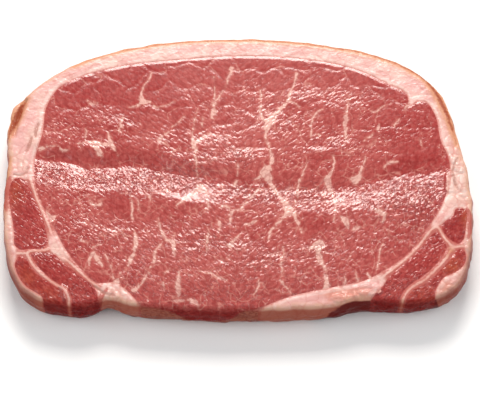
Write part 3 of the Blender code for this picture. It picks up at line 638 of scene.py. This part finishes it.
def wall_shift(points, outline, share):
    """How far the wall carries each corner sideways at a share of the height."""
    far, nearest, pick = nearest_on_loops(points, [outline])
    outward = (grown(outline, 1.0) - outline)[pick]
    fade = np.clip(1 - far / WALL_REACH, 0, 1) ** 2
    shares, outs = zip(*sorted(WALL))
    stand_out = np.interp(share, shares, outs)
    for middle, reach, depth in UNDERCUTS:
        from_middle = np.linalg.norm(nearest - middle, axis=1)
        stand_out = stand_out - depth * (1 - smooth(from_middle / reach)) * (1 - share)
    around = np.column_stack([nearest[:, 0] + 0.8 * nearest[:, 1], np.full(len(points), share * THICKNESS)])
    lumps = 0.5 * ripples(around, 6.0, 8) + 0.22 * ripples(around, 2.4, 9)
    lumps *= 4 * share * (1 - share)
    return outward * ((stand_out + lumps) * fade)[:, None]


def hexagonal_grid(step):
    """Corners of a grid of even triangles over the whole slice."""
    rows = np.arange(-HALF_DEPTH, HALF_DEPTH, step * math.sqrt(0.75))
    columns = np.arange(-HALF_WIDTH, HALF_WIDTH, step)
    return np.array([(x + step / 2 * (k % 2), y) for k, y in enumerate(rows) for x in columns])


def triangulate(points, loops):
    """Triangles over the points, with every loop kept as a line of edges."""
    corners = [Vector(p) for p in points]
    edges = []
    for loop in loops:
        first = len(corners)
        corners += [Vector(p) for p in loop]
        edges += [(first + k, first + (k + 1) % len(loop)) for k in range(len(loop))]
    found = delaunay_2d_cdt(corners, edges, [], 0, SAME_PLACE)
    return np.array([tuple(v) for v in found[0]]), np.array([tuple(face) for face in found[2]])


def boundary(faces):
    """The edges that only one face uses, in that face's direction."""
    used = {tuple(edge) for k in range(3) for edge in faces[:, [k - 1, k]].tolist()}
    return sorted(edge for edge in used if (edge[1], edge[0]) not in used)


def filled(points, edges):
    """Triangles that fill the loops of edges, whose inner side is on their left."""
    faces = delaunay_2d_cdt([Vector(p) for p in points], edges, [], 0, SAME_PLACE)[2]
    owner = {(face[k - 1], face[k]): n for n, face in enumerate(faces) for k in range(3)}
    waiting = [owner[edge] for edge in edges]
    kept = set(waiting)
    loop_edges = set(edges)
    while waiting:
        face = faces[waiting.pop()]
        for edge in ((face[k - 1], face[k]) for k in range(3)):
            beyond = owner.get((edge[1], edge[0]))
            if edge not in loop_edges and beyond not in kept:
                kept.add(beyond)
                waiting.append(beyond)
    return [faces[n] for n in sorted(kept)]


def stitch(faces, places, left, right):
    """Join two columns of corners, top to bottom, with triangles."""
    i = j = 0
    while i < len(left) - 1 or j < len(right) - 1:
        step_left = j == len(right) - 1
        if i < len(left) - 1 and j < len(right) - 1:
            step_left = places[left[i + 1]][2] >= places[right[j + 1]][2]
        if step_left:
            faces.append((left[i], left[i + 1], right[j]))
            i += 1
        else:
            faces.append((left[i], right[j + 1], right[j]))
            j += 1


def build_piece(name, node, corners, faces, fields, outline, under, materials):
    """One closed piece: fine top face, fine outer wall, and a flat underside."""
    kept = np.unique(faces)
    local = np.full(len(corners), -1)
    local[kept] = np.arange(len(kept))
    places = [(x, y, z) for (x, y), z in zip(corners[kept], fields["height"][kept])]
    source = list(kept)
    drop = fields["turned"][kept].tolist()
    all_faces = local[faces].tolist()
    edges = boundary(faces)
    rim = sorted({corner for edge in edges for corner in edge})
    plan = corners[rim]
    near_wall = nearest_on_loops(plan, [outline])[0] < WALL_REACH
    columns = {k: [local[k]] for k in rim}
    levels = round(THICKNESS / LEVEL_STEP)
    for level in range(1, levels + 1):
        share = 1 - level / levels
        moved = plan + wall_shift(plan, outline, share)
        for k, place, near in zip(rim, moved, near_wall):
            if near or level == levels:
                top = fields["height"][k]
                columns[k].append(len(places))
                places.append((place[0], place[1], top * share))
                source.append(k)
                drop.append(fields["turned"][k] + top * (1 - share))
    for start, end in edges:
        stitch(all_faces, places, columns[start], columns[end])
    wall_end = len(all_faces)
    order = {k: n for n, k in enumerate(rim)}
    base = [columns[k][-1] for k in rim] + list(range(len(places), len(places) + len(under)))
    places += [(x, y, 0.0) for x, y in under + wall_shift(under, outline, 0.0)]
    source += nearest_corners(under, corners, kept)
    drop += [0.0] * len(under)
    for face in filled(np.vstack([plan, under]), [(order[a], order[b]) for a, b in edges]):
        all_faces.append([base[k] for k in reversed(face)])
    mesh = bpy.data.meshes.new(name)
    mesh.from_pydata((np.array(places) * MM).tolist(), [], [tuple(map(int, face)) for face in all_faces])
    for key in POINT_FIELDS:
        add_values(mesh, key, fields[key][np.array(source)])
    add_values(mesh, "drop", np.array(drop))
    for material in materials:
        mesh.materials.append(material)
    low = np.array(drop)[np.array(all_faces)].mean(axis=1) > WALL_STARTS
    low[wall_end:] = False
    mesh.polygons.foreach_set("material_index", low.astype(np.int32))
    mesh.shade_smooth()
    mesh.set_sharp_from_angle(angle=SHARP_ANGLE)
    piece = bpy.data.objects.new(name, mesh)
    bpy.context.scene.collection.objects.link(piece)
    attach(piece, "root")
    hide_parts(node)
    print(name, "triangles", len(mesh.polygons))


def add_values(mesh, name, values):
    """Give each corner of the mesh a value that its material can read."""
    mesh.attributes.new(name, "FLOAT", "POINT").data.foreach_set("value", values.astype(np.float32))


def nearest_corners(points, corners, kept):
    """For each underside point, the top corner above it."""
    tree = KDTree(len(kept))
    for k in kept:
        tree.insert((*corners[k], 0), int(k))
    tree.balance()
    return [tree.find((x, y, 0))[1] for x, y in points]


def build_slice(materials):
    """All the pieces, cut from one top face so that every seam matches on both its sides."""
    outline = closed_curve(OUTLINE, LOOP_STEP)
    uneven = 0.32 * ripples(outline, 7.0, 18) + 0.08 * ripples(outline, 3.0, 19) + patches(outline, BULGES)
    outline = grown(outline, uneven[:, None])
    names = list(MUSCLES)
    loops = [closed_curve(knots, LOOP_STEP) for knots in MUSCLES.values()]
    barriers = [outline] + loops
    grid = hexagonal_grid(FACE_STEP)
    grid = grid[inside(grid, outline)]
    clearance = nearest_on_loops(grid, loops)[0]
    edge_distance = nearest_on_loops(grid, [outline])[0]
    grid = grid[(clearance > GRID_CLEARANCE) & (edge_distance > EDGE_ROWS[-1] + GRID_CLEARANCE)]
    rows = np.vstack([grown(outline, -row) for row in EDGE_ROWS])
    rows = rows[nearest_on_loops(rows, loops)[0] > ROW_CLEARANCE]
    corners, faces = triangulate(np.vstack([grid, rows]), barriers)
    fields = surface(corners, outline, loops)
    under = hexagonal_grid(UNDER_STEP)
    under = under[inside(under, outline)]
    under = under[nearest_on_loops(under, barriers)[0] > UNDER_CLEARANCE]
    centres = corners[faces].mean(axis=1)
    face_owner = owners(centres, loops)
    face_owner[~inside(centres, outline)] = -1
    under_owner = owners(under, loops)
    for number, name in enumerate(["fat_rim"] + names):
        slot = SLOTS.get(name, "dark_lean")
        build_piece(name + "_flesh", name, corners, faces[face_owner == number], fields, outline,
                    under[under_owner == number], materials[slot])


def owners(points, loops):
    """The number, from 1, of the muscle that each point is in, and 0 for the fat."""
    owner = np.zeros(len(points), int)
    for number, loop in enumerate(loops, start=1):
        owner[inside(points, loop)] = number
    return owner


def add(tree, kind, inputs=(), **settings):
    """A shader node with its settings, and inputs by name or number as values or links."""
    made = tree.nodes.new("ShaderNode" + kind)
    for name, value in settings.items():
        setattr(made, name, value)
    for name, value in dict(inputs).items():
        if isinstance(value, bpy.types.NodeSocket):
            tree.links.new(value, made.inputs[name])
        else:
            made.inputs[name].default_value = value
    return made


def maths(tree, operation, a, b=0.0):
    return add(tree, "Math", {0: a, 1: b}, operation=operation).outputs[0]


def times(tree, a, b):
    return maths(tree, "MULTIPLY", a, b)


def plus(tree, a, b):
    return maths(tree, "ADD", a, b)


def step(tree, value, low, high):
    """0 below low and 1 above high, smooth between; low may be the greater."""
    inputs = {"Value": value, "From Min": low, "From Max": high}
    return add(tree, "MapRange", inputs, interpolation_type="SMOOTHSTEP").outputs[0]


def between(tree, share, low, high):
    """A value that goes evenly from low to high as the share goes from 0 to 1."""
    return add(tree, "MapRange", {"Value": share, "To Min": low, "To Max": high}).outputs[0]


def mix(tree, share, a, b, mode="MIX"):
    colours = {6: a, 7: b}
    colours = {key: (*value, 1) if isinstance(value, tuple) else value for key, value in colours.items()}
    return add(tree, "Mix", {0: share, **colours}, data_type="RGBA", blend_type=mode).outputs[2]


def painted(tree, colour, tone, share, amount=1.0):
    """The colour with a tone laid over it where the share says."""
    return mix(tree, times(tree, share, amount), colour, tone)


def attribute(tree, name):
    return add(tree, "Attribute", attribute_name=name).outputs["Fac"]


def close_to(tree, name, ragged, low, high):
    """The step of what an attribute measures, with a ragged edge."""
    return step(tree, plus(tree, attribute(tree, name), ragged), low, high)


def place_in_mm(tree, stretch=(1, 1, 1)):
    """The place on the object in millimetres, with each direction stretched."""
    scale = [1000 * s for s in stretch]
    where = add(tree, "TexCoord").outputs["Object"]
    return add(tree, "VectorMath", {0: where, 1: scale}, operation="MULTIPLY").outputs[0]


def noise_at(tree, where, size, detail=2.0, roughness=0.5):
    inputs = {"Vector": where, "Scale": 1 / size, "Detail": detail, "Roughness": roughness}
    return add(tree, "TexNoise", inputs).outputs["Fac"]


def web_at(tree, where, size):
    """Distance to the walls between cells, in cells."""
    inputs = {"Vector": where, "Scale": 1 / size}
    return add(tree, "TexVoronoi", inputs, feature="DISTANCE_TO_EDGE").outputs["Distance"]


def slanted(tree, along, across):
    """The place in millimetres, stretched along the slant of the small muscles and mirrored in the middle."""
    place = add(tree, "SeparateXYZ", {0: place_in_mm(tree)}).outputs
    out = maths(tree, "ABSOLUTE", place[0])
    length = plus(tree, times(tree, out, SLANT[0]), times(tree, place[1], SLANT[1]))
    width = maths(tree, "SUBTRACT", times(tree, place[1], SLANT[0]), times(tree, out, SLANT[1]))
    parts = {0: times(tree, length, along), 1: times(tree, width, across), 2: place[2]}
    return add(tree, "CombineXYZ", parts).outputs[0]


def wandering(tree, where, size, amount):
    """The place moved about by soft noise."""
    swirl = add(tree, "TexNoise", {"Vector": where, "Scale": 1 / size, "Detail": 2.0}).outputs["Color"]
    shift = add(tree, "VectorMath", {0: swirl, 1: (0.5, 0.5, 0.5)}, operation="SUBTRACT").outputs[0]
    shift = add(tree, "VectorMath", {0: shift, "Scale": amount}, operation="SCALE").outputs[0]
    return add(tree, "VectorMath", {0: where, 1: shift}, operation="ADD").outputs[0]


def new_material(name):
    material = bpy.data.materials.new(name)
    material.use_nodes = True
    tree = material.node_tree
    return material, tree, tree.nodes["Principled BSDF"]


def low_on_wall(tree, name, ragged):
    """1 on the lower part of the wall, up to the share of its height that the attribute gives."""
    share = attribute(tree, name)
    level = plus(tree, maths(tree, "DIVIDE", attribute(tree, "drop"), THICKNESS), share)
    level = plus(tree, level, times(tree, ragged, 0.3))
    return times(tree, step(tree, level, 1.1, 1.24), step(tree, share, 0.0, 0.1))


def lean_material(name, tones, marbling, shine, streaky):
    """Moist lean meat: mottled flesh, fine marbling, veins of fat with a few glint lines painted in as pale
    highlights, painted shade on the wall, and painted shade in the creases between wet beads.
    """
    material, tree, shader = new_material(name)
    where = place_in_mm(tree, (1, 1, 0.35))
    rough = attribute(tree, "rough")
    mottle = noise_at(tree, where, 2.1, 2.0, 0.55)
    ragged = times(tree, noise_at(tree, where, 1.1, 3.0, 0.65), 1.8)
    colour = flesh_colour(tree, tones, rough, mottle, streaky)
    colour = marbled(tree, colour, tones, where, rough, ragged, marbling)
    colour = painted(tree, colour, tones["amber"], times(tree, attribute(tree, "amber"), mottle), 1.8)
    colour = veins_and_glints(tree, colour, tones, where, ragged)
    # Painted shade: the wall is darker and redder than the cut face, partly its own colour
    wall = step(tree, attribute(tree, "drop"), 0.2, 3.4)
    colour = mix(tree, wall, colour, tones["wall"], "MULTIPLY")
    film = times(tree, low_on_wall(tree, "film", mottle), wall)
    colour = painted(tree, colour, tones["film"], film, 0.78)
    spread = slanted(tree, 0.5, 1.1) if streaky else slanted(tree, 0.48, 0.86)
    beads = wet_surface(tree, shader, rough, shine, (0.22, 0.12), spread)
    # Painted shade: the colour is darkened in the creases between the beads, more where the cut face is rough
    crease_shade = times(tree, maths(tree, "SUBTRACT", 1.0, beads), between(tree, rough, 0.65, 0.9))
    colour = mix(tree, crease_shade, colour, tones["shaded_crease"], "MULTIPLY")
    tree.links.new(colour, shader.inputs["Base Color"])
    return material


def flesh_colour(tree, tones, rough, mottle, streaky):
    """The lean itself: deep to middle in broad patches, with pale mottles and long streaks."""
    fibres = noise_at(tree, place_in_mm(tree, (1.0, 0.15, 0.1)), 0.6, 2.0)
    colour = mix(tree, step(tree, attribute(tree, "tone"), 0.0, 1.0), tones["deep"], tones["middle"])
    pale = plus(tree, step(tree, mottle, 0.4, 0.8), times(tree, step(tree, fibres, 0.4, 0.8), 0.6))
    colour = mix(tree, times(tree, pale, between(tree, rough, 0.36, 0.56)), colour, tones["pale"])
    lengthwise = wandering(tree, slanted(tree, 0.28, 0.9), 2.5, 1.5)
    strands = step(tree, noise_at(tree, lengthwise, 1.1, 3.0, 0.6), 0.48, 0.7)
    return painted(tree, colour, tones["thread"], strands, streaky)


def marbled(tree, colour, tones, where, rough, ragged, amount):
    """Fine pale threads: a broken web, and the edges of the bundles of fibres."""
    gaps = times(tree, step(tree, noise_at(tree, where, 6.0), 0.44, 0.6), step(tree, rough, 0.12, 0.4))
    web = step(tree, web_at(tree, wandering(tree, where, 7.0, 4.5), 4.4), 0.085, 0.02)
    colour = painted(tree, colour, tones["thread"], times(tree, web, gaps), 0.6 * amount)
    gaps = step(tree, noise_at(tree, where, 8.0), 0.47, 0.6)
    threads = times(tree, close_to(tree, "bundle", ragged, 1.6, 0.9), gaps)
    return painted(tree, colour, tones["thread"], threads, 0.7 * amount)


def veins_and_glints(tree, colour, tones, where, ragged):
    """Veins of fat with a few glint lines painted in as pale highlights, pale lumps and the margin along the
    seams, with a softer fringe.
    """
    worn = times(tree, step(tree, noise_at(tree, where, 3.2), 0.48, 0.7), 0.8)
    vein_and_glint = plus(tree, plus(tree, attribute(tree, "vein_and_glint"), worn), times(tree, ragged, 0.7))
    fringe = maths(tree, "MAXIMUM", step(tree, vein_and_glint, 1.7, 0.7), close_to(tree, "rim", ragged, 1.6, 0.6))
    colour = painted(tree, colour, tones["thread"], fringe, 0.4)
    core = maths(tree, "MAXIMUM", step(tree, vein_and_glint, 0.85, 0.35), close_to(tree, "rim", ragged, 0.8, 0.3))
    core = maths(tree, "MAXIMUM", core, close_to(tree, "lump", ragged, 1.2, 0.7))
    return painted(tree, colour, tones["fat"], core, 0.85)


def wet_surface(tree, shader, rough, shine, blur, where):
    """Wet beads with creases between them, higher where the cut face is rough; returns the beads' tops less
    the creases, which mark where the lean's painted shade goes.
    """
    wrinkled = wandering(tree, where, 2.2, 1.4)
    cells = {"Vector": wrinkled, "Scale": 1 / BEAD_SIZE}
    beads = add(tree, "TexVoronoi", cells, feature="F1").outputs["Distance"]
    ridges = noise_at(tree, wrinkled, 0.95, 1.0, 0.5)
    grain = noise_at(tree, wrinkled, 0.5, 2.0)
    middle = noise_at(tree, wrinkled, CREASE_SPACING, 2.0)
    folds = maths(tree, "ABSOLUTE", maths(tree, "SUBTRACT", middle, 0.5))
    creases = times(tree, step(tree, folds, 0.035, 0.0), step(tree, rough, 0.35, 0.8))
    height = plus(tree, times(tree, ridges, 0.8), times(tree, beads, -0.6))
    height = plus(tree, height, times(tree, grain, 0.12))
    height = plus(tree, height, times(tree, creases, -0.45))
    height = times(tree, height, between(tree, rough, 0.06, 1.08))
    bump = add(tree, "Bump", {"Height": height, "Strength": 1.0, "Distance": BUMP_DEPTH})
    tree.links.new(bump.outputs[0], shader.inputs["Normal"])
    gloss = plus(tree, between(tree, grain, *blur), times(tree, creases, 0.2))
    tree.links.new(gloss, shader.inputs["Roughness"])
    shader.inputs["Specular IOR Level"].default_value = shine
    tops = step(tree, plus(tree, beads, times(tree, ridges, -0.6)), 0.38, 0.12)
    return maths(tree, "SUBTRACT", tops, creases)


def fat_material(name, tones, shine):
    """Moist fat: cream to pink, browned to rind at the edge, with lean in its narrow seams."""
    material, tree, shader = new_material(name)
    where = place_in_mm(tree, (1, 1, 0.4))
    fine = noise_at(tree, where, 2.6, 4.0, 0.6)
    ragged = times(tree, noise_at(tree, where, 1.3, 3.0, 0.65), 1.6)
    layers = layers_beside_lean(tree)
    colour = fat_colour(tree, tones, where, fine, layers)
    colour = browned(tree, colour, tones, fine, ragged)
    colour = lean_beside(tree, colour, tones, fine, ragged, layers)
    # Painted shade: the thin creases in the fat are darkened
    colour = painted(tree, colour, tones["shaded_crease"], close_to(tree, "shaded_crease", ragged, 1.5, 0.8), 0.7)
    drop = attribute(tree, "drop")
    # Painted shade: the wall is darker and redder than the cut face, partly its own colour
    colour = mix(tree, step(tree, drop, 0.2, 3.0), colour, tones["wall"], "MULTIPLY")
    # Lean low on the front wall under the fat, its very dark colour partly painted shade
    below = times(tree, low_on_wall(tree, "below", fine), step(tree, drop, 1.2, 2.6))
    colour = mix(tree, below, colour, tones["below"])
    tree.links.new(colour, shader.inputs["Base Color"])
    rough = plus(tree, times(tree, close_to(tree, "lump", ragged, 1.6, 0.6), 0.35), 0.22)
    wet_surface(tree, shader, rough, shine, (0.4, 0.2), place_in_mm(tree, (0.72, 1.0, 0.8)))
    return material


def layers_beside_lean(tree):
    """Noise drawn out along the edge of the lean."""
    along = add(tree, "SeparateXYZ", {0: place_in_mm(tree, (0.1, 0.1, 0.05))}).outputs
    parts = {0: times(tree, attribute(tree, "rim"), 0.8), 1: along[0], 2: along[1]}
    return noise_at(tree, add(tree, "CombineXYZ", parts).outputs[0], 1.0)


def fat_colour(tree, tones, where, fine, layers):
    """Cream to pink in patches and layers, whiter inside, beige outside, and a painted shade, darker and
    redder, in the creases round the knobs.
    """
    blush = plus(tree, attribute(tree, "blush"), times(tree, layers, 1.6))
    colour = mix(tree, step(tree, blush, 0.7, 1.7), tones["cream"], tones["pink"])
    colour = painted(tree, colour, tones["white"], step(tree, fine, 0.5, 0.8), 0.6)
    colour = painted(tree, colour, tones["raw"], step(tree, blush, 1.8, 3.0), 0.8)
    colour = painted(tree, colour, tones["white"], step(tree, blush, 0.8, 0.1), 0.7)
    inner = close_to(tree, "rim", times(tree, layers, 4.0), 4.6, 3.0)
    colour = painted(tree, colour, tones["white"], inner, 0.4)
    outer = close_to(tree, "outer", times(tree, fine, 5.0), 5.6, 2.6)
    colour = painted(tree, colour, tones["beige"], outer, 0.8)
    # Painted shade: darker and redder in the creases between the knobs
    colour = painted(tree, colour, tones["blood"], attribute(tree, "knob"), 0.5)
    web = step(tree, web_at(tree, wandering(tree, where, 5.0, 4.0), 7.0), 0.08, 0.0)
    return painted(tree, colour, tones["blood"], web, 0.3)


def browned(tree, colour, tones, fine, ragged):
    """Tan towards the rind, the rind itself, and brown skin at the front corners."""
    colour = painted(tree, colour, tones["tan"], close_to(tree, "rind", ragged, 3.6, 0.4), 0.85)
    rind = painted(tree, tones["rind"], tones["tan"], step(tree, fine, 0.45, 0.75), 0.45)
    colour = mix(tree, close_to(tree, "rind", ragged, 0.9, -0.3), colour, rind)
    return painted(tree, colour, tones["skin"], times(tree, attribute(tree, "skin"), fine), 1.7)


def lean_beside(tree, colour, tones, fine, ragged, layers):
    """A red margin, lean along the middle of narrow seams, and lean that lies over the fat."""
    colour = painted(tree, colour, tones["blood"], close_to(tree, "rim", ragged, 1.8, 1.0), 0.7)
    flesh = mix(tree, fine, tones["flesh"], tones["blood"])
    narrow = attribute(tree, "narrow")
    colour = painted(tree, colour, tones["raw"], times(tree, narrow, layers), 0.9)
    seam = close_to(tree, "middle", times(tree, ragged, 0.9), 0.95, 1.45)
    colour = painted(tree, colour, flesh, times(tree, seam, narrow), 0.9)
    upper = times(tree, attribute(tree, "drop"), times(tree, fine, 0.3))
    stray = close_to(tree, "stray", plus(tree, ragged, upper), 1.6, 0.8)
    return painted(tree, colour, flesh, stray, 0.9)


def floor_and_light():
    """A plain pale floor, a soft light behind, and a large one at each side."""
    bpy.ops.mesh.primitive_plane_add(size=4.0, location=(0, 0, 0))
    floor = bpy.context.object
    floor.name = "floor"
    material, tree, shader = new_material("floor")
    shader.inputs["Base Color"].default_value = (0.97, 0.97, 0.97, 1)
    shader.inputs["Roughness"].default_value = 0.9
    shader.inputs["Specular IOR Level"].default_value = 0.1
    floor.data.materials.append(material)
    world = bpy.data.worlds.new("studio")
    world.use_nodes = True
    background = world.node_tree.nodes["Background"]
    background.inputs["Color"].default_value = (1, 1, 1, 1)
    background.inputs["Strength"].default_value = 0.3
    bpy.context.scene.world = world
    soft_light("back_light", (0.0, 0.955, 0.955), (0.6, 0.47), 17.0, (1.0, 0.948, 0.895))
    for side in (-1, 1):
        soft_light("side_light", (1.15 * side, -0.2, 1.15), (1.3, 1.3), 9.5, (0.97, 0.99, 1.0))


def soft_light(name, place, size, power, colour):
    """A rectangular light that faces the slice."""
    light = bpy.data.lights.new(name, "AREA")
    light.shape = "RECTANGLE"
    light.size, light.size_y = size
    light.energy = power
    light.color = colour
    lamp = bpy.data.objects.new(name, light)
    lamp.location = place
    lamp.rotation_euler = (-Vector(place)).to_track_quat("-Z", "Y").to_euler()
    bpy.context.scene.collection.objects.link(lamp)


def place_camera():
    camera = bpy.data.cameras.new("camera")
    camera.lens = LENS
    camera.sensor_width = SENSOR
    eye = bpy.data.objects.new("camera", camera)
    back = Vector((0, -math.cos(ELEVATION), math.sin(ELEVATION)))
    eye.location = AIM + DISTANCE * back
    eye.rotation_euler = (math.pi / 2 - ELEVATION, 0, 0)
    bpy.context.scene.collection.objects.link(eye)
    bpy.context.scene.camera = eye


LEAN_TONES = {
    "deep": (0.345, 0.032, 0.03), "middle": (0.43, 0.08, 0.07), "pale": (0.53, 0.145, 0.125),
    "thread": (0.62, 0.26, 0.21), "fat": (0.76, 0.45, 0.38), "amber": (0.44, 0.11, 0.05),
    # crease is a painted shade for the creases between wet beads; wall is a painted shade on the walls,
    # partly their own redder colour
    "film": (0.36, 0.115, 0.072), "wall": (0.62, 0.3, 0.3), "shaded_crease": (0.74, 0.55, 0.56),
}
DARK_TONES = {
    "deep": (0.29, 0.018, 0.018), "middle": (0.36, 0.037, 0.034), "pale": (0.46, 0.085, 0.07),
    "thread": (0.54, 0.15, 0.125), "fat": (0.72, 0.38, 0.31), "amber": (0.42, 0.08, 0.028),
    # crease is a painted shade for the creases between wet beads; wall is a painted shade on the walls,
    # partly their own redder colour
    "film": (0.36, 0.115, 0.072), "wall": (0.58, 0.3, 0.3), "shaded_crease": (0.7, 0.5, 0.52),
}
FAT_TONES = {
    "cream": (0.74, 0.47, 0.4), "pink": (0.71, 0.37, 0.34), "white": (0.82, 0.62, 0.56),
    "beige": (0.66, 0.38, 0.26), "tan": (0.62, 0.27, 0.14), "rind": (0.33, 0.058, 0.02),
    "skin": (0.44, 0.19, 0.15), "raw": (0.64, 0.26, 0.19), "blood": (0.54, 0.15, 0.12),
    # crease is a painted shade for the thin creases; wall is a painted shade on the walls, partly their own
    # redder colour
    "flesh": (0.36, 0.045, 0.036), "shaded_crease": (0.4, 0.16, 0.12), "wall": (0.55, 0.27, 0.24),
    # below is the lean under the fat on the front wall, its very dark colour partly painted shade
    "below": (0.13, 0.012, 0.01),
}

# The wall has materials of its own, as it is less wet than the cut face
build_slice({"lean": [lean_material("lean", LEAN_TONES, 1.0, 0.55, 0.0),
                      lean_material("lean_wall", LEAN_TONES, 1.0, 0.02, 0.0)],
             "dark_lean": [lean_material("dark_lean", DARK_TONES, 0.45, 0.5, 0.3),
                           lean_material("dark_lean_wall", DARK_TONES, 0.45, 0.02, 0.3)],
             "fat": [fat_material("fat", FAT_TONES, 0.45), fat_material("fat_wall", FAT_TONES, 0.02)]})
floor_and_light()
place_camera()
bpy.context.scene.view_settings.view_transform = "Standard"
